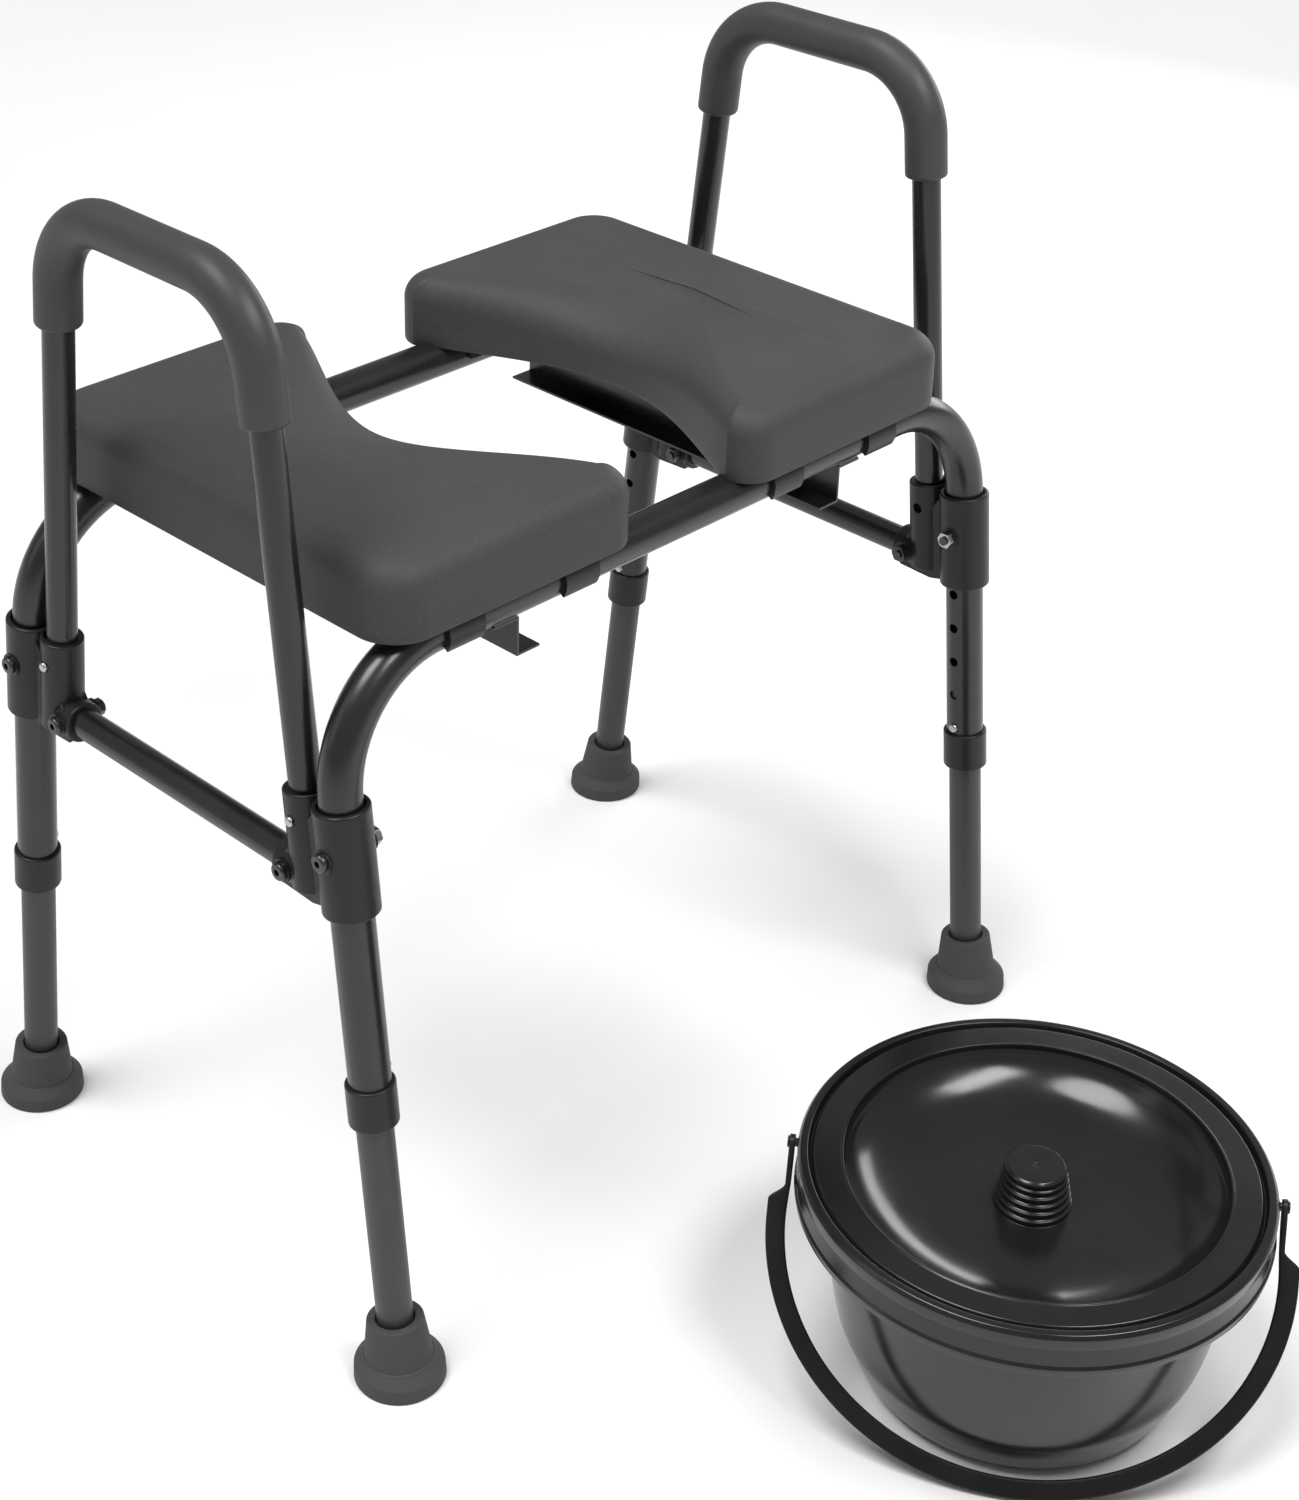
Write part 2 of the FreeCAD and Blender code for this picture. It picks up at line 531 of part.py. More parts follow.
# --- everything ---
def nodes():
    front = rail_tube()
    yield "front_rail_tube", front
    yield "rear_rail_tube", front.mirror(V(0, 0, 0), Y)
    corners = (("front_left", True, True), ("front_right", False, True),
               ("back_left", True, False), ("back_right", False, False))
    pieces = (("connector", connector()), ("leg_collar", collar()), ("inner_leg", inner_leg()),
              ("foot", foot()), ("foot_washer", foot_washer()), ("leg_spring", leg_spring()),
              ("leg_button", leg_button()), ("handle_button", handle_button()))
    for corner, left, front_side in corners:
        for name, shape in pieces:
            yield name + "_" + corner, at_corner(shape, left, front_side)
    sleeve_y = on_leg(BOLT_Z).y
    for name, maker in (("bolts", bolt), ("nuts", nut)):
        for where, seat, y, z in (("sleeve", SLEEVE_SEAT, sleeve_y, BOLT_Z),
                                  ("brace", BRACE_SEAT, -BRACE_BOLT_Y, BRACE_Z)):
            one = maker(seat, y, z)
            yield where + "_" + name, Part.makeCompound([at_corner(one, l, f) for _, l, f in corners])
    sides = (("left", True), ("right", False))
    both = (("side_brace", brace()), ("pail_rail", pail_rail()), ("handle_tube", handle_tube()),
            ("handle_grip", grip()), ("handle_springs", handle_springs()), ("pad_foam", pad_foam()),
            ("pad_board", pad_board()), ("pad_clips", pad_clips()), ("clip_screws", clip_screws()))
    for side, left in sides:
        for name, shape in both:
            piece = at_corner(shape, left, True)
            if name in ("pad_foam", "pad_board", "pad_clips", "clip_screws"):
                piece = piece.copy()
                piece.translate(V(PAD_SLIDE, 0, 0))
            yield name + "_" + side, piece
    yield "rail_welds", rail_welds()
    yield "pail", place_pail(pail())
    yield "pail_lid", place_pail(pail_lid())
    yield "pail_bail", place_pail(pail_bail())


os.makedirs("parts", exist_ok=True)
for node, solid in nodes():
    solid = solid.copy()
    solid.translate(SET_SHIFT)
    solid.exportStep("parts/" + node + ".step")
    bb = solid.BoundBox
    print("%-26s solids %d valid %s vol %.1f cm3  x %.1f..%.1f y %.1f..%.1f z %.1f..%.1f" % (
        node, len(solid.Solids), solid.isValid(), solid.Volume / 1000,
        bb.XMin, bb.XMax, bb.YMin, bb.YMax, bb.ZMin, bb.ZMax))
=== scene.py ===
import json
import math

import bmesh
import bpy
import numpy as np
from mathutils import Matrix, Vector


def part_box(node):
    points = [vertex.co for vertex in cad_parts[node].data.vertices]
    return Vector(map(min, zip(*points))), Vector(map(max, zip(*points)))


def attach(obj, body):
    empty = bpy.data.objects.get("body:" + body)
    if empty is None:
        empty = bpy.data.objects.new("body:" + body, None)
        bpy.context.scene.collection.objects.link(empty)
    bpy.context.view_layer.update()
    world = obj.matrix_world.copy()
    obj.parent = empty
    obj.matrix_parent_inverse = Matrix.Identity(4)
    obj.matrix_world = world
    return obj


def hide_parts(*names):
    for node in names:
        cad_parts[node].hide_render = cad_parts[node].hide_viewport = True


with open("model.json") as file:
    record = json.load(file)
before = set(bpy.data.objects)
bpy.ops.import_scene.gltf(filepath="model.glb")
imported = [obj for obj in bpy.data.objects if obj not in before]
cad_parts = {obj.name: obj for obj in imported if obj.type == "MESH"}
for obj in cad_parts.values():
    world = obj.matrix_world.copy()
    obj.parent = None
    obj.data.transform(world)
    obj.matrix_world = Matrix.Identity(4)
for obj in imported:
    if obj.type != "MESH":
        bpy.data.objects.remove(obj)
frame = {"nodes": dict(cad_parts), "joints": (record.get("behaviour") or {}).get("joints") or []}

# Commode chair with a lidded pail: its pads, grips, feet and pail as smooth surfaces, and a
# finish for every piece. Metres, +Z up; the chair's front faces -Y, the sitter's left is +X.

bl_info = {
    "name": "Commode chair",
    "version": (1, 0, 0),
    "blender": (4, 5, 0),
    "location": "View3D > Sidebar > Commode chair",
    "description": "Pads, grips, feet, pail and finishes for a height-adjustable commode chair",
    "category": "Object",
}

MM = 0.001
CORNERS = ("front_left", "front_right", "back_left", "back_right")
SIDES = ("left", "right")
JOINTS = {joint["name"]: joint for joint in frame["joints"]}
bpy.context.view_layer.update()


# --- settings that a user would change ---
def length(name, description, default_mm):
    return bpy.props.FloatProperty(name=name, description=description, default=default_mm * MM,
                                   subtype="DISTANCE", unit="LENGTH")


def colour(name, description, rgb):
    return bpy.props.FloatVectorProperty(name=name, description=description, default=rgb,
                                         subtype="COLOR", size=3, min=0.0, max=1.0)


class PadSizes(bpy.types.PropertyGroup):
    cut: length("Cut-out", "Depth of the inner cut-out at the pad's underside", 52)
    cut_span: length("Cut-out span", "Length over which the cut-out runs, front to back", 290)
    nose_round: length("Nose radius", "Corner radius of the two inner ends, seen from above", 22)
    corner_round: length("Corner radius", "Radius of the two outer corners, seen from above", 28)
    edge_round: length("Edge radius", "Roundness of the top edge along the outer sides", 17)
    dish_width: length("Dish width", "Extra width of the soft slope into the cut-out", 36)
    dish_drop: length("Dish drop", "Extra height of the soft slope into the cut-out", 13)
    crown: length("Crown", "How far the middle of the top stands above its edge", 1.4)
    recess: length("Recess", "Width of the foam rim that hides the board's edge", 12)


class GripSizes(bpy.types.PropertyGroup):
    radius: length("Radius", "Outside radius of the foam grip", 14)
    bore: length("Bore", "Inside radius of the grip", 9.6)
    bend: length("Bend", "Centre-line radius of the two bends", 51)
    end_round: length("End", "Rounding at each end of the grip", 2.4)


class FootSizes(bpy.types.PropertyGroup):
    height: length("Height", "Height of the cone's mouth above the floor", 41.5)
    bore: length("Bore", "Inside radius that grips the leg", 11.15)
    mouth: length("Mouth", "Inside radius at the top", 12.0)
    neck: length("Neck", "Outside radius at the top of the cone", 17.3)
    skirt: length("Skirt", "Outside radius at the bottom of the cone", 20.7)


class PailSizes(bpy.types.PropertyGroup):
    wall: length("Wall", "Thickness of the pail's wall", 2.5)
    knob: length("Knob", "Radius of the knob's widest ring", 22.8)
    dish: length("Dish", "Radius of the lid's dish at its top edge", 112.2)
    rim: length("Rim", "Outside radius of the rim", 138.6)
    ring: length("Ring", "Outside radius of the ring under the rim", 139.6)
    pin: length("Pin", "Radius of the pins that carry the bail", 2.6)
    eye: length("Eye", "Radius of the bail's round ends", 4.6)
    tab_inside: length("Tab inside", "From the pail's axis to the inner face of a tab", 140.3)
    tab_outside: length("Tab outside", "From the pail's axis to the outer face of a tab", 143.7)
    strap_half: length("Strap half span", "From the pail's axis to the middle of the strap", 147)
    strap_width: length("Strap width", "Width of the bail", 11.5)
    strap_thick: length("Strap thickness", "Thickness of the bail", 4)
    strap_reach: length("Strap reach", "From the pivots to the outside of the bail", 181)
    strap_drop: length("Strap drop", "From the pivots to where the bail's arc starts", 42)


class Colours(bpy.types.PropertyGroup):
    powder: colour("Powder coat", "Frame and handle tubes", (0.0105, 0.0108, 0.0115))
    inner: colour("Inner legs", "Anodised inner legs", (0.029, 0.0298, 0.0315))
    plastic: colour("Moulded plastic", "Connectors, collars and clips", (0.0125, 0.0128, 0.0136))
    foam: colour("Foam skin", "Seat pads", (0.050, 0.0506, 0.053))
    grip: colour("Grip", "Handle grips", (0.048, 0.0485, 0.0505))
    rubber: colour("Rubber", "Feet", (0.036, 0.036, 0.038))
    pail: colour("Pail", "Pail and lid", (0.0085, 0.0087, 0.0092))
    board: colour("Board", "Stained seat board", (0.045, 0.034, 0.025))


class ChairSettings(bpy.types.PropertyGroup):
    pad: bpy.props.PointerProperty(type=PadSizes, name="Seat pads", description="Sizes of the pads")
    grip: bpy.props.PointerProperty(type=GripSizes, name="Grips", description="Sizes of the grips")
    foot: bpy.props.PointerProperty(type=FootSizes, name="Feet", description="Sizes of the feet")
    pail: bpy.props.PointerProperty(type=PailSizes, name="Pail", description="Sizes of the pail")
    colours: bpy.props.PointerProperty(type=Colours, name="Colours", description="Base colours")


# --- shapes as functions on a grid ---
def grid_piece(name, grid, loop_rows=False):
    """A mesh from points in rows by columns. Point (i, j) is joined with its neighbours (i + 1, j)
    and (i, j + 1), the columns close on themselves, and the rows do if loop_rows is set."""
    rows, cols = grid.shape[:2]
    i = np.arange(rows if loop_rows else rows - 1)[:, None]
    j = np.arange(cols)[None, :]
    below, beside = (i + 1) % rows, (j + 1) % cols
    quads = np.stack([i * cols + j, below * cols + j, below * cols + beside, i * cols + beside], -1)
    mesh = bpy.data.meshes.new(name)
    mesh.from_pydata(grid.reshape(-1, 3).tolist(), [], quads.reshape(-1, 4).tolist())
    shell = bmesh.new()
    shell.from_mesh(mesh)
    bmesh.ops.remove_doubles(shell, verts=shell.verts, dist=1e-6)
    bmesh.ops.recalc_face_normals(shell, faces=shell.faces)
    shell.to_mesh(mesh)
    shell.free()
    mesh.polygons.foreach_set("use_smooth", np.ones(len(mesh.polygons), dtype=bool))
    mesh.set_sharp_from_angle(angle=math.radians(48))
    piece = bpy.data.objects.new(name, mesh)
    bpy.context.collection.objects.link(piece)
    return piece


def rounded_line(points, radii, steps=5):
    """A line through points with each inner corner turned into an arc of its radius. The arc is the
    rational quadratic curve between the tangent points, weighted by the sine of half the corner."""
    p = np.asarray(points, float)
    before, corner, after = p[:-2], p[1:-1], p[2:]
    u = (before - corner) / np.linalg.norm(before - corner, axis=1, keepdims=True)
    w = (after - corner) / np.linalg.norm(after - corner, axis=1, keepdims=True)
    half = np.arccos(np.clip((u * w).sum(1), -1, 1)) / 2
    reach = (np.asarray(radii) / np.tan(half))[:, None]
    s = np.linspace(0, 1, steps + 1)[None, :, None]
    weights = ((1 - s) ** 2, 2 * s * (1 - s) * np.sin(half)[:, None, None], s ** 2)
    ends = ((corner + u * reach)[:, None], corner[:, None], (corner + w * reach)[:, None])
    arcs = sum(k * e for k, e in zip(weights, ends)) / sum(weights)
    return np.concatenate([p[:1], arcs.reshape(-1, p.shape[1]), p[-1:]])


def flowing_line(points, steps=6):
    """A smooth line through points: each run is a cubic whose slope at a point is half the chord
    between that point's neighbours."""
    p = np.asarray(points, float)
    q = np.concatenate([2 * p[:1] - p[1:2], p, 2 * p[-1:] - p[-2:-1]])
    a, b, c, d = (q[k:len(q) - 3 + k, None] for k in range(4))
    s = np.linspace(0, 1, steps, endpoint=False)[None, :, None]
    run = (b + s * (c - a) / 2 + s ** 2 * (a - 2.5 * b + 2 * c - d / 2)
           + s ** 3 * (1.5 * (b - c) + (d - a) / 2))
    return np.concatenate([run.reshape(-1, p.shape[1]), p[-1:]])


def turned_piece(name, profile, centre, turns=180):
    """A profile of radius r and height z turned about the vertical: x = r cos t, y = r sin t."""
    t = np.linspace(0, 2 * math.pi, turns, endpoint=False)
    r, z = profile[:, :1], profile[:, 1:]
    grid = np.stack([r * np.cos(t), r * np.sin(t), z + 0 * t], -1)
    return grid_piece(name, grid + np.asarray(centre))


def smooth_step(x, start, end):
    """0 before start, 1 after end, and 3 s^2 - 2 s^3 between."""
    s = np.clip((x - start) / (end - start), 0, 1)
    return s * s * (3 - 2 * s)


def middle(node):
    low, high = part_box(node)
    return (Vector(low) + Vector(high)) / 2


# --- effects that several finishes share ---
def shared_group(name, inputs, outputs):
    """A new shader group with its sockets; returns the group, its input node and output node."""
    group = bpy.data.node_groups.new(name, "ShaderNodeTree")
    for socket, kind, value in inputs:
        made = group.interface.new_socket(name=socket, in_out="INPUT", socket_type=kind)
        if value is not None:
            made.default_value = value
    for socket, kind in outputs:
        group.interface.new_socket(name=socket, in_out="OUTPUT", socket_type=kind)
    return group, group.nodes.new("NodeGroupInput"), group.nodes.new("NodeGroupOutput")


def add(tree, kind, **values):
    """A node with plain values; a value that names an input is set on that input."""
    node = tree.nodes.new(kind)
    for key, value in values.items():
        if hasattr(node, key):
            setattr(node, key, value)
        else:
            node.inputs[key.replace("_", " ")].default_value = value
    return node


def grain_group():
    """Moulded grain: height mixes cell walls with fine noise, and specks mark its high points."""
    number, vector = "NodeSocketFloat", "NodeSocketVector"
    inputs = (("Vector", vector, None), ("Scale", number, 600.0), ("Cells", number, 0.5))
    outputs = (("Height", number), ("Specks", number))
    group, inp, out = shared_group("moulded_grain", inputs, outputs)
    noise = add(group, "ShaderNodeTexNoise", Detail=3.0, Roughness=0.6)
    cells = add(group, "ShaderNodeTexVoronoi", feature="SMOOTH_F1")
    mix = add(group, "ShaderNodeMix", data_type="FLOAT")
    specks = add(group, "ShaderNodeMapRange", From_Min=0.56, From_Max=0.72)
    link = group.links.new
    for texture in (noise, cells):
        link(inp.outputs["Vector"], texture.inputs["Vector"])
        link(inp.outputs["Scale"], texture.inputs["Scale"])
    link(inp.outputs["Cells"], mix.inputs["Factor"])
    link(noise.outputs["Fac"], mix.inputs["A"])
    link(cells.outputs["Distance"], mix.inputs["B"])
    link(mix.outputs["Result"], out.inputs["Height"])
    link(noise.outputs["Fac"], specks.inputs["Value"])
    link(specks.outputs["Result"], out.inputs["Specks"])
    return group


def handling_group():
    """Signs of handling: broad cloudy patches, and faint dust that settles on faces turned up."""
    number, vector = "NodeSocketFloat", "NodeSocketVector"
    inputs = (("Vector", vector, None), ("Scale", number, 9.0))
    outputs = (("Patches", number), ("Dust", number))
    group, inp, out = shared_group("handling", inputs, outputs)
    noise = add(group, "ShaderNodeTexNoise", Detail=4.0, Roughness=0.62, Distortion=0.4)
    spread = add(group, "ShaderNodeMapRange", From_Min=0.32, From_Max=0.68)
    normal = add(group, "ShaderNodeNewGeometry")
    split = add(group, "ShaderNodeSeparateXYZ")
    upward = add(group, "ShaderNodeMapRange", From_Min=0.35, From_Max=1.0)
    dust = add(group, "ShaderNodeMath", operation="MULTIPLY")
    link = group.links.new
    link(inp.outputs["Vector"], noise.inputs["Vector"])
    link(inp.outputs["Scale"], noise.inputs["Scale"])
    link(noise.outputs["Fac"], spread.inputs["Value"])
    link(spread.outputs["Result"], out.inputs["Patches"])
    link(normal.outputs["Normal"], split.inputs["Vector"])
    link(split.outputs["Z"], upward.inputs["Value"])
    link(upward.outputs["Result"], dust.inputs[0])
    link(spread.outputs["Result"], dust.inputs[1])
    link(dust.outputs["Value"], out.inputs["Dust"])
    return group


DUST_COLOUR = (0.20, 0.195, 0.19, 1)
SPECK_GAIN, SPECK_LIFT = 2.2, 0.01       # how much paler a speck is than its base colour


def surface(name, base, rough, rough_swing, grain_scale, grain_depth, cells=0.3, specks=0.0,
            patch_scale=9.0, patch_tone=0.12, dust=0.0, stretch=(1, 1, 1), **shader_values):
    """A finish: base colour toned by patches, specks and dust, roughness swung by the patches, and
    a bump of grain_depth metres from the moulded grain."""
    material = bpy.data.materials.new(name)
    material.use_nodes = True
    tree = material.node_tree
    shader = tree.nodes["Principled BSDF"]
    for key, value in shader_values.items():
        shader.inputs[key.replace("_", " ")].default_value = value
    place = add(tree, "ShaderNodeTexCoord")
    mapping = add(tree, "ShaderNodeMapping", Scale=stretch)
    grain = add(tree, "ShaderNodeGroup", node_tree=bpy.data.node_groups["moulded_grain"])
    wear = add(tree, "ShaderNodeGroup", node_tree=bpy.data.node_groups["handling"])
    grain.inputs["Scale"].default_value, grain.inputs["Cells"].default_value = grain_scale, cells
    wear.inputs["Scale"].default_value = patch_scale
    light = tuple(min(1.0, c * (1 + patch_tone)) for c in base)
    dark = tuple(c * (1 - patch_tone) for c in base)
    speck = tuple(min(1.0, c * SPECK_GAIN + SPECK_LIFT) for c in base)
    patch_mix = add(tree, "ShaderNodeMix", data_type="RGBA")
    speck_mix = add(tree, "ShaderNodeMix", data_type="RGBA")
    dust_mix = add(tree, "ShaderNodeMix", data_type="RGBA")
    speck_share = add(tree, "ShaderNodeMath", operation="MULTIPLY")
    dust_share = add(tree, "ShaderNodeMath", operation="MULTIPLY")
    rough_range = add(tree, "ShaderNodeMapRange", To_Min=rough - rough_swing,
                      To_Max=rough + rough_swing)
    bump = add(tree, "ShaderNodeBump", Strength=1.0, Distance=grain_depth)
    patch_mix.inputs["A"].default_value = (*dark, 1)
    patch_mix.inputs["B"].default_value = (*light, 1)
    speck_mix.inputs["B"].default_value = (*speck, 1)
    dust_mix.inputs["B"].default_value = DUST_COLOUR
    speck_share.inputs[1].default_value = specks
    dust_share.inputs[1].default_value = dust
    link = tree.links.new
    link(place.outputs["Object"], mapping.inputs["Vector"])
    link(mapping.outputs["Vector"], grain.inputs["Vector"])
    link(place.outputs["Object"], wear.inputs["Vector"])
    link(wear.outputs["Patches"], patch_mix.inputs["Factor"])
    link(grain.outputs["Specks"], speck_share.inputs[0])
    link(wear.outputs["Dust"], dust_share.inputs[0])
    link(speck_share.outputs["Value"], speck_mix.inputs["Factor"])
    link(patch_mix.outputs["Result"], speck_mix.inputs["A"])
    link(dust_share.outputs["Value"], dust_mix.inputs["Factor"])
    link(speck_mix.outputs["Result"], dust_mix.inputs["A"])
    link(dust_mix.outputs["Result"], shader.inputs["Base Color"])
    link(wear.outputs["Patches"], rough_range.inputs["Value"])
    link(rough_range.outputs["Result"], shader.inputs["Roughness"])
    link(grain.outputs["Height"], bump.inputs["Height"])
    link(bump.outputs["Normal"], shader.inputs["Normal"])
    return material


# --- finishes ---
def powder_coat(c):
    """Satin powder coat with a faint orange peel."""
    return surface("powder_coat", c.powder, 0.27, 0.03, 420, 0.00002, cells=0.2, patch_scale=14,
                   Specular_IOR_Level=0.55)


def anodised_leg(c):
    """Greyer, drier coat of the inner legs, lightly streaked lengthways."""
    return surface("anodised_leg", c.inner, 0.42, 0.05, 700, 0.00002, cells=0.1, specks=0.1,
                   stretch=(1, 1, 0.05), patch_scale=18, Specular_IOR_Level=0.5)


def moulded_plastic(c):
    """Satin nylon of the connectors and collars."""
    return surface("moulded_plastic", c.plastic, 0.36, 0.05, 900, 0.000025, cells=0.4, specks=0.08,
                   patch_scale=22, Specular_IOR_Level=0.3)


def foam_skin(c):
    """Pebbled skin of the moulded seat pads."""
    return surface("foam_skin", c.foam, 0.56, 0.05, 760, 0.00016, cells=0.55, specks=0.30,
                   patch_scale=7, patch_tone=0.07, dust=0.02, Specular_IOR_Level=0.2)


def grip_foam(c):
    """Finer skin of the handle grips."""
    return surface("grip_foam", c.grip, 0.46, 0.05, 1100, 0.00006, cells=0.4, specks=0.15,
                   patch_scale=12, patch_tone=0.08, Specular_IOR_Level=0.3)


def foot_rubber(c):
    """Matte rubber with dust on what faces up."""
    return surface("foot_rubber", c.rubber, 0.55, 0.06, 650, 0.00005, cells=0.3, specks=0.12,
                   patch_scale=30, patch_tone=0.15, dust=0.05, Specular_IOR_Level=0.45)


def pail_gloss(c):
    """Glossy moulded plastic with very slight waviness."""
    return surface("pail_gloss", c.pail, 0.19, 0.03, 60, 0.00004, cells=0.0, patch_scale=16,
                   patch_tone=0.1, Specular_IOR_Level=0.5)


def bail_satin(c):
    """The bail's flatter black."""
    return surface("bail_satin", c.pail, 0.36, 0.05, 800, 0.00003, cells=0.3, patch_scale=25,
                   Specular_IOR_Level=0.25)


def bright_plate(c):
    """Zinc-plated buttons, nuts and screws, finely brushed round."""
    return surface("bright_plate", (0.46, 0.465, 0.48), 0.28, 0.06, 1600, 0.00002, cells=0.0,
                   stretch=(1, 1, 0.15), patch_scale=120, patch_tone=0.08, Metallic=1.0)


def black_oxide(c):
    """Oiled black oxide on the bolts."""
    return surface("black_oxide", (0.075, 0.075, 0.08), 0.31, 0.06, 1500, 0.00002, cells=0.2,
                   patch_scale=90, patch_tone=0.2, Metallic=0.9)


def spring_steel(c):
    """Blued strip of the snap springs."""
    return surface("spring_steel", (0.36, 0.37, 0.40), 0.30, 0.05, 1200, 0.00001, cells=0.0,
                   stretch=(0.1, 1, 1), patch_scale=60, Metallic=1.0)


def seat_board(c):
    """Stained plywood, its grain running front to back."""
    return surface("seat_board", c.board, 0.62, 0.08, 160, 0.00012, cells=0.0, specks=0.5,
                   stretch=(1, 0.04, 1), patch_scale=8, patch_tone=0.25)


FINISHES = (powder_coat, anodised_leg, moulded_plastic, foam_skin, grip_foam, foot_rubber,
            pail_gloss, bail_satin, bright_plate, black_oxide, spring_steel, seat_board)
NODE_FINISH = (
    ("powder_coat", ("front_rail_tube", "rear_rail_tube", "side_brace", "pail_rail", "handle_tube",
                     "rail_welds")),
    ("anodised_leg", ("inner_leg",)),
    ("moulded_plastic", ("connector", "leg_collar", "pad_clips")),
    ("bright_plate", ("leg_button", "handle_button", "sleeve_nuts", "foot_washer")),
    ("black_oxide", ("sleeve_bolts", "brace_bolts", "brace_nuts", "clip_screws")),
    ("spring_steel", ("leg_spring", "handle_springs")),
    ("seat_board", ("pad_board",)),
)


def dress(piece, finish, body):
    """Finish a new piece and let it ride on its body."""
    piece.data.materials.append(bpy.data.materials[finish])
    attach(piece, body)


def settings():
    return bpy.context.scene.commode_chair


class MakeFinishes(bpy.types.Operator):
    """Make every finish and give the frame's own pieces theirs"""
    bl_idname = "commode_chair.finishes"
    bl_label = "Finishes"

    def execute(self, context):
        grain_group()
        handling_group()
        for finish in FINISHES:
            finish(settings().colours)
        for finish, starts in NODE_FINISH:
            for name, node in frame["nodes"].items():
                if name.startswith(starts):
                    for slot in node.material_slots:
                        slot.material = bpy.data.materials[finish]
        return {"FINISHED"}


# --- seat pads ---
PAD_COLUMNS = (120, 14, 36)      # points on the inner edge, each corner and each straight side
PAD_CORNERS = 4
CUT_POWER = 1.2                  # above 1 the cut-out runs out softly at its two ends
LEAST_NOSE, LEAST_CORNER = 7 * MM, 10 * MM
CORNER_SHRINK = 0.8              # how fast a corner's radius falls as its ring moves inwards
FOOT_TOP = 1.6 * MM              # height of the rounded edge round the pad's underside
DISH_LEAN = 4 * MM               # how far the cut-out's slope leans back at its top
SPINE_INSET = 70 * MM            # from the outer side to the line that the top's rings shrink to
SPINE_LENGTH = 0.72              # that line's length as a share of the pad's
SWELL_ACROSS, SWELL_ALONG = 75 * MM, 110 * MM
CROWN_FADE = 70 * MM
TOP_RINGS = (0.97, 0.93, 0.87, 0.79, 0.7, 0.6, 0.5, 0.4, 0.3, 0.2, 0.1)
SPINE_RINGS = (0.66, 0.33, 0.0)


def pad_outline(inset, dish, low, high, size):
    """Points round a pad for a table of insets, rows by columns. The inner edge is
    x = x0 + (cut + dish) cos(pi (y - middle) / span)^1.2; straight sides and quarter circles do
    the rest."""
    n_inner, n_corner, n_side = PAD_COLUMNS
    counts = (n_inner, n_corner, n_side, n_corner, n_side, n_corner, n_side, n_corner)
    ends = np.cumsum(counts)
    parts = [(inset[:, e - n:e], dish[:, e - n:e], np.linspace(0, 1, n, endpoint=False)[None])
             for n, e in zip(counts, ends)]

    def edges(d):
        nose = np.maximum(LEAST_NOSE, size.nose_round - CORNER_SHRINK * d)
        corner = np.maximum(LEAST_CORNER, size.corner_round - CORNER_SHRINK * d)
        return low[0] + d, high[0] - d, low[1] + d, high[1] - d, nose, corner

    def inner(d, dish_d, s):
        x0, x1, y0, y1, nose, corner = edges(d)
        y = y0 + nose + s * (y1 - y0 - 2 * nose)
        turn = math.pi * (y - (low[1] + high[1]) / 2) / size.cut_span
        swell = np.maximum(0, np.cos(turn)) ** CUT_POWER
        return x0 + (size.cut + dish_d) * swell, y

    def arc(cx, cy, r, start, s):
        turn = start - s * math.pi / 2
        return cx + r * np.cos(turn), cy + r * np.sin(turn)

    def straight(xa, ya, xb, yb, s):
        return xa + s * (xb - xa), ya + s * (yb - ya)

    out = [inner(*parts[0])]
    for k, (d, _, s) in enumerate(parts[1:]):
        x0, x1, y0, y1, nose, corner = edges(d)
        out.append((
            lambda: arc(x0 + nose, y1 - nose, nose, math.pi, s),
            lambda: straight(x0 + nose, y1, x1 - corner, y1, s),
            lambda: arc(x1 - corner, y1 - corner, corner, math.pi / 2, s),
            lambda: straight(x1, y1 - corner, x1, y0 + corner, s),
            lambda: arc(x1 - corner, y0 + corner, corner, 0, s),
            lambda: straight(x1 - corner, y0, x0 + nose, y0, s),
            lambda: arc(x0 + nose, y0 + nose, nose, -math.pi / 2, s),
        )[k]())
    return np.concatenate([p[0] for p in out], 1), np.concatenate([p[1] for p in out], 1)


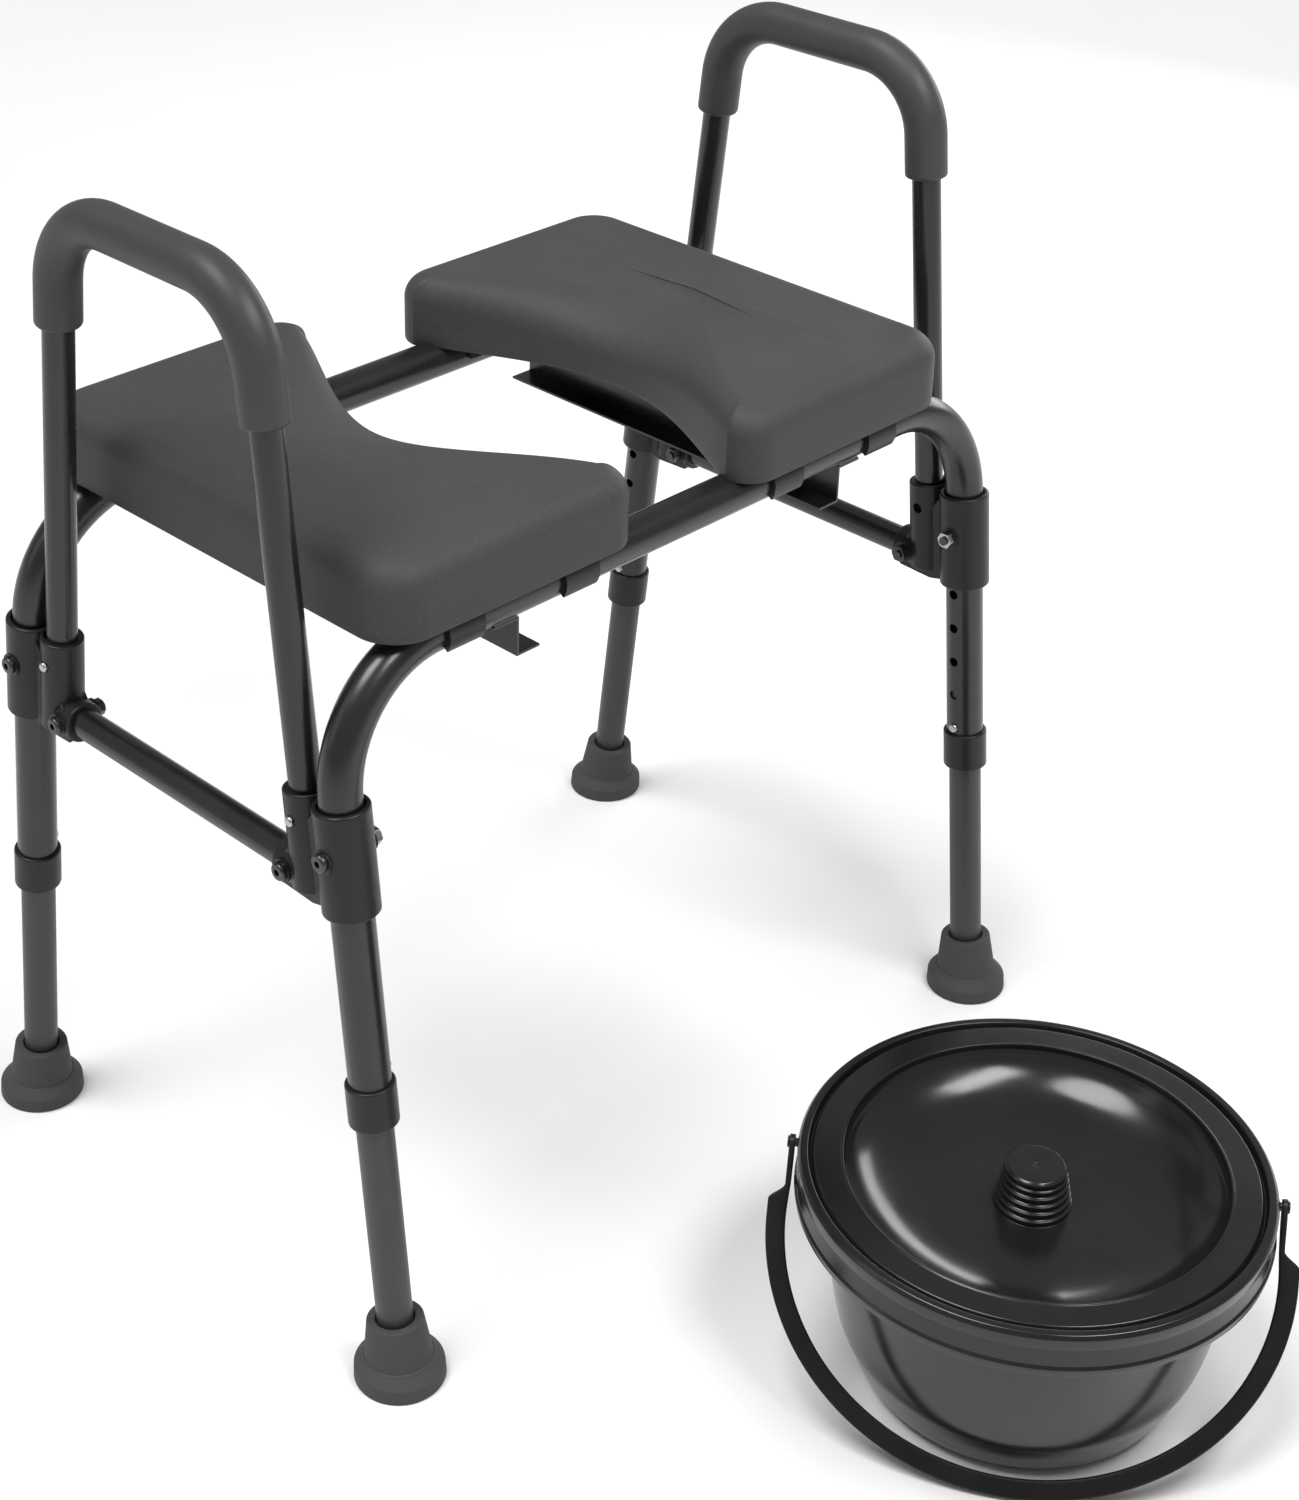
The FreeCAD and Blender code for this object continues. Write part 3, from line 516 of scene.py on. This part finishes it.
def pad_grid(low, high, size):
    """Rows of a left pad: up the board recess, round the bottom rim, up the sides, over the edge on
    a quarter ellipse, then across the top on rings that shrink to a spine and along it to the
    middle. The top swells by crown exp(-(x / 75)^2 - (y / 110)^2), faded in over 70 mm."""
    n_inner, n_corner, n_side = PAD_COLUMNS
    columns = n_inner + PAD_CORNERS * n_corner + (PAD_CORNERS - 1) * n_side
    y = np.linspace(-1, 1, n_inner, endpoint=False)
    dip = np.zeros((1, columns))
    dip[0, :n_inner] = np.cos(y * math.pi / 2) ** 2
    bottom, top = low[2], high[2]
    rim = size.recess
    width = size.edge_round + size.dish_width * dip
    height = size.edge_round + size.dish_drop * dip
    shoulder = top - height
    foot = ((rim, 14.2), (rim, 8.0), (rim, 1.2), (rim - 1.0 * MM, 0.0), (6 * MM, 0.0),
            (1.6 * MM, 0.0), (0.5 * MM, 0.4), (0.0, 1.6))
    rows = [(d + 0 * dip, bottom + z * MM + 0 * dip, 0 * dip) for d, z in foot]
    for s in (0.25, 0.5, 0.75):
        rows.append((0 * dip, bottom + FOOT_TOP + s * (shoulder - bottom - FOOT_TOP), 0 * dip))
    for a in np.radians(np.linspace(0, 90, 19)):
        rows.append((width * (1 - math.cos(a)), shoulder + height * math.sin(a),
                     DISH_LEAN * dip * math.sin(a)))
    inset, z, dish = (np.concatenate([row[k] for row in rows]) for k in range(3))
    x, y = pad_outline(inset, dish, low, high, size)
    edge = np.stack([x[-1], y[-1]], -1)
    centre = np.array([high[0] - SPINE_INSET, (low[1] + high[1]) / 2])
    spine_y = centre[1] + SPINE_LENGTH * (edge[:, 1] - centre[1])
    spine = np.stack([np.full(columns, centre[0]), spine_y], -1)
    flat = spine + np.array(TOP_RINGS)[:, None, None] * (edge - spine)
    inwards = np.array(SPINE_RINGS)[:, None, None] * (flat[-1] - centre)
    flat = np.concatenate([flat, centre + inwards])
    away = np.linalg.norm(flat - edge, axis=-1)
    across, along = flat[..., 0] - centre[0], flat[..., 1] - centre[1]
    swell = np.exp(-(across / SWELL_ACROSS) ** 2 - (along / SWELL_ALONG) ** 2)
    crown = top + size.crown * swell * smooth_step(away, 0, CROWN_FADE)
    cap = np.concatenate([flat, crown[..., None]], -1)
    under = np.array([0.0, 0.5])[:, None, None]
    roof = centre + under * (np.stack([x[0], y[0]], -1) - centre)
    roof = np.concatenate([roof, np.full(roof.shape[:2] + (1,), z[0, 0])], -1)
    return np.concatenate([roof, np.stack([x, y, z], -1), cap])


class MakePads(bpy.types.Operator):
    """Make the two moulded foam seat pads, dished towards the opening"""
    bl_idname = "commode_chair.pads"
    bl_label = "Seat pads"

    def execute(self, context):
        low, high = (np.array(corner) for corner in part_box("pad_foam_left"))
        grid = pad_grid(low, high, settings().pad)
        mirrored = grid * (-1, 1, 1) + (high[0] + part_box("pad_foam_right")[0][0], 0, 0)
        for side, shape in zip(SIDES, (grid, mirrored)):
            pad = grid_piece("seat_pad_" + side, shape)
            dress(pad, "foam_skin", "frame")
            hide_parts("pad_foam_" + side)
        return {"FINISHED"}


# --- handle grips ---
STEP = 1e-4                      # how far each way the grip's line is looked at for its direction


def grip_grid(low, high, lean, size):
    """A hollow bar along a line with two bends. Stations run out along the outside, with a rounded
    end r - round (1 - sqrt(1 - (1 - s / round)^2)), and back along the bore."""
    x, top = (low[0] + high[0]) / 2, high[2] - size.radius
    end_z = low[2] + size.radius * math.sin(lean)
    y_mid, half = (low[1] + high[1]) / 2, (high[1] - low[1]) / 2 - size.radius * math.cos(lean)
    corner = half - (top - end_z) * math.tan(lean)
    points = [(x, y_mid - half, end_z), (x, y_mid - corner, top), (x, y_mid + corner, top),
              (x, y_mid + half, end_z)]
    path = rounded_line(points, (size.bend, size.bend), steps=40)
    travelled = np.concatenate([[0], np.cumsum(np.linalg.norm(np.diff(path, axis=0), axis=1))])
    whole, r = travelled[-1], size.end_round
    ends = r * (1 - np.cos(np.radians(np.linspace(0, 90, 7))))
    s = np.concatenate([ends, np.linspace(r, whole - r, 110)[1:-1], whole - ends[::-1]])
    from_end = np.minimum(s, whole - s)
    outside = size.radius - r * (1 - np.sqrt(1 - (1 - np.minimum(from_end / r, 1)) ** 2))
    s, radius = np.concatenate([s, s[::-1]]), np.concatenate([outside, np.full(len(s), size.bore)])
    at = np.stack([np.interp(s, travelled, path[:, k]) for k in range(3)], -1)
    ahead = np.stack([np.interp(s + STEP, travelled, path[:, k]) for k in range(3)], -1)
    behind = np.stack([np.interp(s - STEP, travelled, path[:, k]) for k in range(3)], -1)
    along = (ahead - behind) / np.linalg.norm(ahead - behind, axis=1, keepdims=True)
    across = np.array([1.0, 0.0, 0.0])
    normal = np.cross(along, across)
    t = np.linspace(0, 2 * math.pi, 48, endpoint=False)
    ring = np.cos(t)[None, :, None] * across + np.sin(t)[None, :, None] * normal[:, None]
    return at[:, None] + radius[:, None, None] * ring


class MakeGrips(bpy.types.Operator):
    """Make the foam grip of each handle"""
    bl_idname = "commode_chair.grips"
    bl_label = "Handle grips"

    def execute(self, context):
        axis = JOINTS["leg_slide_front_left"]["axis"]
        lean = math.atan2(abs(axis[1]), axis[2])
        for side in SIDES:
            low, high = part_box("handle_grip_" + side)
            grid = grip_grid(low, high, lean, settings().grip)
            piece = grid_piece("hand_grip_" + side, grid, loop_rows=True)
            dress(piece, "grip_foam", "handle_" + side)
            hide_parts("handle_grip_" + side)
        return {"FINISHED"}


# --- rubber feet ---
FOOT_BASE = 6 * MM               # below this a foot's rings stay centred on its tread
TURN_START, TURN_END = 10 * MM, 26 * MM


def foot_grid(low, high, axis, size):
    """Rings from the tread to the cone's mouth. Each ring's centre follows the leg above the base,
    and the ring turns from flat on the floor to square on the leg. Profiles are in millimetres."""
    base, top = (high[0] - low[0]) / 2, size.height / MM
    tread = [(0, 0.8), (6, 0.8), (6.6, 0), (9.4, 0), (10, 0.8), (12.6, 0.8), (13.2, 0), (16, 0),
             (16.6, 0.8), (19.4, 0.8), (20, 0), (base / MM - 1.7, 0)]
    skirt, neck, mouth, bore = (v / MM for v in (size.skirt, size.neck, size.mouth, size.bore))
    side = [(base / MM, 0.4), (base / MM - 0.5, 9.4), (skirt + 1.9, 14.3), (skirt + 1.0, 15.7),
            (skirt, 15.9), (neck, top), (mouth, top), (bore, top - 5), (bore, 8.2), (0, 8.2)]
    radii = [0.15] * 11 + [0.8, 1.4, 0.5, 0.35, 0.3, 1.3, 0.8, 0.4, 0.3]
    line = rounded_line(tread + side, radii, steps=4) * MM
    r, z = line[:, :1], line[:, 1:]
    slope = axis[1] / axis[2]
    centre_y = (low[1] + high[1]) / 2 + slope * np.maximum(z - FOOT_BASE, 0)
    tilt = -math.atan(slope) * smooth_step(z, TURN_START, TURN_END) * (r > 1 * MM)
    t = np.linspace(0, 2 * math.pi, 96, endpoint=False)[None]
    x = (low[0] + high[0]) / 2 + r * np.cos(t)
    y = centre_y + r * np.sin(t) * np.cos(tilt)
    return np.stack([x, y, np.maximum(z + r * np.sin(t) * np.sin(tilt), 0)], -1)


class MakeFeet(bpy.types.Operator):
    """Make the four rubber feet"""
    bl_idname = "commode_chair.feet"
    bl_label = "Rubber feet"

    def execute(self, context):
        for corner in CORNERS:
            low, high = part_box("foot_" + corner)
            grid = foot_grid(low, high, JOINTS["leg_slide_" + corner]["axis"], settings().foot)
            piece = grid_piece("rubber_foot_" + corner, grid)
            dress(piece, "foot_rubber", "leg_" + corner)
            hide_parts("foot_" + corner)
        return {"FINISHED"}


# --- pail ---
def pail_place():
    """Centre of the pail on the floor, the bail's pivot line and the way the bail leans."""
    centre = middle("pail")
    pivot_line = -Vector(JOINTS["bail_swing"]["axis"])
    return np.array([centre.x, centre.y, 0.0]), pivot_line, Vector((0, 0, 1)).cross(-pivot_line)


def pail_profile(size, tall):
    """The pail's wall in radius and height, in millimetres until it is returned: floor, swelling
    wall, skirt that flares to its ring, rim bead, ledge for the lid and inside."""
    base = [(0, 1.2), (74, 1.2), (78, 0.0), (82, 0.0)]
    wall = flowing_line([(83.6, 0.9), (88.8, 1.5), (93, 5), (97, 10.5), (100.2, 17.5), (105, 29),
                         (109.6, 41), (113.6, 60), (117, 84), (120, 108), (121.6, 120),
                         (122.6, 134)])
    rim, ring, tall, t = size.rim / MM, size.ring / MM, tall / MM, size.wall / MM
    corners = [(122.9, 141.6), (rim - 5.2, 141.6), (ring - 4.6, 130), (ring - 3.6, 122.6),
               (ring - 0.5, 122.6), (ring, 127.2), (ring - 1.5, 128.6), (rim - 2.4, 139.4),
               (rim - 0.2, 140.6), (rim, 147.6), (rim - 1.9, tall), (132.6, tall), (131.4, 145.1),
               (120.6, 145.1), (122.8 - t, 141)]
    rounds = [0.6, 0.5, 0.5, 0.6, 0.6, 0.9, 0.6, 0.8, 0.7, 1.7, 1.4, 0.7, 0.7, 1.0, 0.5]
    inside = flowing_line([(122.8 - t, 140), (121.6 - t, 120), (117 - t, 84), (109.6 - t, 41),
                           (100 - t, 17), (90, 6), (80, t)])
    rim_line = rounded_line([wall[-1], *corners, inside[0]], rounds)
    return np.concatenate([base, wall, rim_line, inside, [(0, t)]]) * MM


def pivot_stub(name, centre, line, sign, size):
    """A turned pin with a rounded cap, its axis along the pivot line."""
    start, pin = size.rim - 3 * MM, size.pin / MM
    long = (size.tab_outside + 1.2 * MM - start) / MM
    corners = [(0, 0), (pin, 0), (pin, long - 1), (pin + 1, long - 1), (pin + 1, long), (0, long)]
    profile = rounded_line(corners, (0.2, 0.3, 0.2, 0.6), steps=4) * MM
    t = np.linspace(0, 2 * math.pi, 40, endpoint=False)
    along = np.array(line) * sign
    side, up = np.cross(along, (0, 0, 1)), np.array([0, 0, 1.0])
    ring = np.cos(t)[None, :, None] * side + np.sin(t)[None, :, None] * up
    at = np.asarray(centre) + along * start
    out, wide = profile[:, 1, None, None], profile[:, 0, None, None]
    return grid_piece(name, at + out * along + wide * ring)


class MakePail(bpy.types.Operator):
    """Make the pail with its skirted rim and the two pins that carry the bail"""
    bl_idname = "commode_chair.pail"
    bl_label = "Pail"

    def execute(self, context):
        size = settings().pail
        centre, line, _ = pail_place()
        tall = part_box("pail")[1][2]
        pail = turned_piece("pail_body", pail_profile(size, tall), centre, turns=240)
        dress(pail, "pail_gloss", "pail")
        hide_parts("pail")
        at = centre + (0, 0, JOINTS["bail_swing"]["pos_m"][2])
        for side, sign in (("near", 1), ("far", -1)):
            stub = pivot_stub("pail_pin_" + side, at, line, sign, size)
            dress(stub, "pail_gloss", "pail")
        return {"FINISHED"}


KNOB_RINGS = 5


def lid_profile(size, tall):
    """The lid in radius and height, in millimetres until it is returned: knob of five rings, dish,
    fine lip, flat ring and underside."""
    k, top = size.knob / MM, tall / MM
    knob = [(0, top - 0.5), (1.0, top - 0.5), (1.5, top), (16.6, top), (18.4, top - 1.5)]
    rounds = [0.2, 0.3, 0.6, 0.9]
    for ring in range(KNOB_RINGS):
        r, z = k - 3.8 + 0.95 * ring, 145.4 - 4.75 * ring
        knob += [(r - 1.2, z), (r, z - 0.4), (r, z - 3.4), (r - 1.4, z - 3.9)]
        rounds += [0.3, 0.4, 0.5, 0.3]
    dish = flowing_line([(k + 1.5, 122.3), (38, 122.2), (54, 122.3), (68, 123.0), (80, 124.9),
                         (90, 128.2), (98, 132.4), (104.6, 137.4), (109, 142.2), (111.4, 146.4)])
    d = size.dish / MM
    ring = [(d - 0.9, 147.4), (d - 0.4, 149.6), (d + 0.8, 149.6), (d + 1.5, 149.0), (128.8, 149.0),
            (130.8, 145.5), (112.0, 145.5)]
    ring_rounds = [0.3, 0.4, 0.4, 0.4, 1.2, 0.4, 1.0]
    under = flowing_line([(109.6, 143.2), (105.4, 137.6), (99.8, 131.4), (92, 127), (84, 120.4),
                          (70, 120.1)])
    knob_line = rounded_line(knob + [tuple(dish[0])], rounds, steps=4)
    ring_line = rounded_line([dish[-1], *ring, under[0]], ring_rounds, steps=5)
    return np.concatenate([knob_line, dish, ring_line, under, [(0, 120.1)]]) * MM


class MakeLid(bpy.types.Operator):
    """Make the dished lid with its ringed knob"""
    bl_idname = "commode_chair.lid"
    bl_label = "Pail lid"

    def execute(self, context):
        centre, _, _ = pail_place()
        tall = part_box("pail_lid")[1][2]
        lid = turned_piece("pail_lid_dish", lid_profile(settings().pail, tall), centre, turns=240)
        dress(lid, "pail_gloss", "pail_lid")
        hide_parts("pail_lid")
        return {"FINISHED"}


# Distances below the pivots along a tab of the bail.
SPLAY_START = 20 * MM                    # its inner edge starts to move outwards
TAB_SHOULDER = (24.5 * MM, 34 * MM)      # its outer edge widens to the strap
EYE_TAPER = (8 * MM, 24 * MM)            # its round eye thins to the strap
STRAP_SQUARENESS = 5.0                   # exponent of the strap's section: 2 is an ellipse


def bail_grid(size):
    """The strap between its inner and outer edge lines, each a tab that runs into half an ellipse.
    Across it the section is a superellipse; along a tab its thickness swells to the round eye."""
    half = size.strap_width / 2
    drop, reach, span, eye = size.strap_drop, size.strap_reach, size.strap_half, size.eye
    inner_tab, outer_tab = size.tab_inside, size.tab_outside
    turn = np.radians(np.linspace(0, 90, 60))
    arc = {k: np.stack([(span + k) * np.cos(turn),
                        drop + (reach - drop - half + k) * np.sin(turn)], -1)
           for k in (half, -half)}
    over_eye = eye * -np.cos(np.radians(np.linspace(0, 88, 9)))
    down = np.concatenate([over_eye, np.linspace(0, drop / MM, 40)[1:-1] * MM])
    splay = smooth_step(down, SPLAY_START, drop)
    inner = np.stack([inner_tab + (span - half - inner_tab) * splay, down], -1)
    wide = smooth_step(down, *TAB_SHOULDER)
    outer = np.stack([outer_tab + (span + half - outer_tab) * wide, down], -1)
    inner, outer = np.concatenate([inner, arc[-half]]), np.concatenate([outer, arc[half]])
    v = inner[:, 1]
    twist = smooth_step(v, *EYE_TAPER)
    round_eye = np.sqrt(np.maximum(eye ** 2 - np.minimum(v, 0) ** 2, 1e-10))
    thick = round_eye * (1 - twist) + size.strap_thick / 2 * twist
    return inner, outer, thick


class MakeBail(bpy.types.Operator):
    """Make the strap bail that rests on the floor in front of the pail"""
    bl_idname = "commode_chair.bail"
    bl_label = "Pail bail"

    def execute(self, context):
        size = settings().pail
        centre, line, lean = pail_place()
        inner, outer, thick = bail_grid(size)
        mirror = (-1, 1)
        inner = np.concatenate([inner, inner[::-1][1:] * mirror])
        outer = np.concatenate([outer, outer[::-1][1:] * mirror])
        thick = np.concatenate([thick, thick[::-1][1:]])
        pivot_z = JOINTS["bail_swing"]["pos_m"][2]
        swing = math.acos((pivot_z - size.strap_thick / 2) / size.strap_reach)
        down = np.array(lean) * math.sin(swing) - np.array([0, 0, math.cos(swing)])
        out = np.array(lean) * math.cos(swing) + np.array([0, 0, math.sin(swing)])
        t = np.linspace(0, 2 * math.pi, 28, endpoint=False)
        power = 2 / STRAP_SQUARENESS
        across = np.sign(np.cos(t)) * np.abs(np.cos(t)) ** power
        through = np.sign(np.sin(t)) * np.abs(np.sin(t)) ** power
        mid, half = (inner + outer) / 2, (outer - inner) / 2
        flat = mid[:, None] + half[:, None] * across[None, :, None]
        grid = (flat[..., :1] * np.array(line) + flat[..., 1:] * down
                + (thick[:, None] * through[None])[..., None] * out)
        ends = grid.mean(1, keepdims=True)[[0, -1]] + 0 * grid[:1]
        grid = np.concatenate([ends[:1], grid, ends[1:]]) + centre + (0, 0, pivot_z)
        bail = grid_piece("pail_bail_strap", grid)
        dress(bail, "bail_satin", "pail_bail")
        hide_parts("pail_bail")
        return {"FINISHED"}


# --- studio ---
CAMERA_AT = (-1.06276, -0.90398, 1.19315)
CAMERA_AZIMUTH, CAMERA_ELEVATION, CAMERA_ROLL = (math.radians(a) for a in (-45.27, 27.09, 0.85))
CAMERA_LENS, CAMERA_SHIFT = 64.24, (0.057, -0.158)
FLOOR_HALF = 12.0
WORLD_COLOUR, WORLD_STRENGTH = (0.95, 0.96, 0.97, 1), 0.33
OVERHEAD_SUN = ("overhead", (-0.36, 0.16, 1.0), 2.35, 30)    # name, towards, strength, spread
SOFT_BOXES = (                                               # name, at, target, size, power
    ("top_box", (0.15, -1.05, 2.0), (0, -0.25, 0.1), (1.2, 0.5), 26),
    ("right_strip", (2.2, 0.35, 0.85), (0, 0, 0.2), (1.7, 0.5), 14),
    ("left_strip", (-2.0, 1.2, 1.5), (0, 0, 0.3), (0.7, 1.8), 3),
)


def studio_floor():
    """A wide pale sheet with a hint of tooth."""
    half = FLOOR_HALF
    mesh = bpy.data.meshes.new("studio_floor")
    corners = [(-half, -half, 0), (half, -half, 0), (half, half, 0), (-half, half, 0)]
    mesh.from_pydata(corners, [], [(0, 1, 2, 3)])
    floor = bpy.data.objects.new("studio_floor", mesh)
    bpy.context.collection.objects.link(floor)
    paper = surface("studio_paper", (0.86, 0.86, 0.86), 0.8, 0.02, 300, 0.00003, cells=0.0,
                    patch_scale=1.5, patch_tone=0.01)
    floor.data.materials.append(paper)


def soft_box(name, at, target, size, power):
    """A square soft light at a place, facing a target."""
    data = bpy.data.lights.new(name, "AREA")
    data.shape, data.size, data.size_y, data.energy = "RECTANGLE", size[0], size[1], power
    light = bpy.data.objects.new(name, data)
    light.location = at
    light.rotation_euler = (Vector(target) - Vector(at)).to_track_quat("-Z", "Y").to_euler()
    bpy.context.collection.objects.link(light)


def overhead_sun(name, towards, strength, spread):
    """Even light from one side of the sky, its disc spread degrees across."""
    data = bpy.data.lights.new(name, "SUN")
    data.energy, data.angle = strength, math.radians(spread)
    light = bpy.data.objects.new(name, data)
    light.rotation_euler = Vector(towards).to_track_quat("Z", "Y").to_euler()
    bpy.context.collection.objects.link(light)


def studio_camera():
    """The camera's own axes from its azimuth, elevation and roll."""
    a, e, r = CAMERA_AZIMUTH, CAMERA_ELEVATION, CAMERA_ROLL
    back = Vector((math.sin(a) * math.cos(e), -math.cos(a) * math.cos(e), math.sin(e)))
    right = (-back).cross(Vector((0, 0, 1))).normalized()
    up = right.cross(-back)
    turned_right = right * math.cos(r) + up * math.sin(r)
    turned_up = up * math.cos(r) - right * math.sin(r)
    data = bpy.data.cameras.new("studio_camera")
    data.lens, data.shift_x, data.shift_y = CAMERA_LENS, *CAMERA_SHIFT
    camera = bpy.data.objects.new("studio_camera", data)
    basis = Matrix((turned_right, turned_up, back)).transposed()
    camera.matrix_world = Matrix.Translation(CAMERA_AT) @ basis.to_4x4()
    bpy.context.collection.objects.link(camera)
    bpy.context.scene.camera = camera


class MakeStage(bpy.types.Operator):
    """Set up the pale floor, the soft lights and the camera"""
    bl_idname = "commode_chair.stage"
    bl_label = "Stage"

    def execute(self, context):
        studio_floor()
        overhead_sun(*OVERHEAD_SUN)
        for box in SOFT_BOXES:
            soft_box(*box)
        world = bpy.data.worlds.new("studio_world")
        world.use_nodes = True
        background = world.node_tree.nodes["Background"]
        background.inputs["Color"].default_value = WORLD_COLOUR
        background.inputs["Strength"].default_value = WORLD_STRENGTH
        context.scene.world = world
        context.scene.view_settings.view_transform = "Standard"
        studio_camera()
        return {"FINISHED"}


class ChairPanel(bpy.types.Panel):
    """Buttons for every piece"""
    bl_idname = "VIEW3D_PT_commode_chair"
    bl_label = "Commode chair"
    bl_space_type = "VIEW_3D"
    bl_region_type = "UI"
    bl_category = "Commode chair"

    def draw(self, context):
        for operator in OPERATORS:
            self.layout.operator(operator.bl_idname)
        chair = settings()
        for group in (chair.pad, chair.grip, chair.foot, chair.pail, chair.colours):
            box = self.layout.box()
            for name in group.__annotations__:
                box.prop(group, name)


OPERATORS = (MakeStage, MakeFinishes, MakePads, MakeGrips, MakeFeet, MakePail, MakeLid, MakeBail)
CLASSES = (PadSizes, GripSizes, FootSizes, PailSizes, Colours, ChairSettings, *OPERATORS,
           ChairPanel)


def register():
    for cls in CLASSES:
        bpy.utils.register_class(cls)
    bpy.types.Scene.commode_chair = bpy.props.PointerProperty(type=ChairSettings)


def unregister():
    del bpy.types.Scene.commode_chair
    for cls in reversed(CLASSES):
        bpy.utils.unregister_class(cls)


def main():
    register()
    bpy.ops.commode_chair.finishes()
    bpy.ops.commode_chair.stage()
    bpy.ops.commode_chair.pads()
    bpy.ops.commode_chair.grips()
    bpy.ops.commode_chair.feet()
    bpy.ops.commode_chair.pail()
    bpy.ops.commode_chair.lid()
    bpy.ops.commode_chair.bail()


if __name__ == "__main__":
    main()
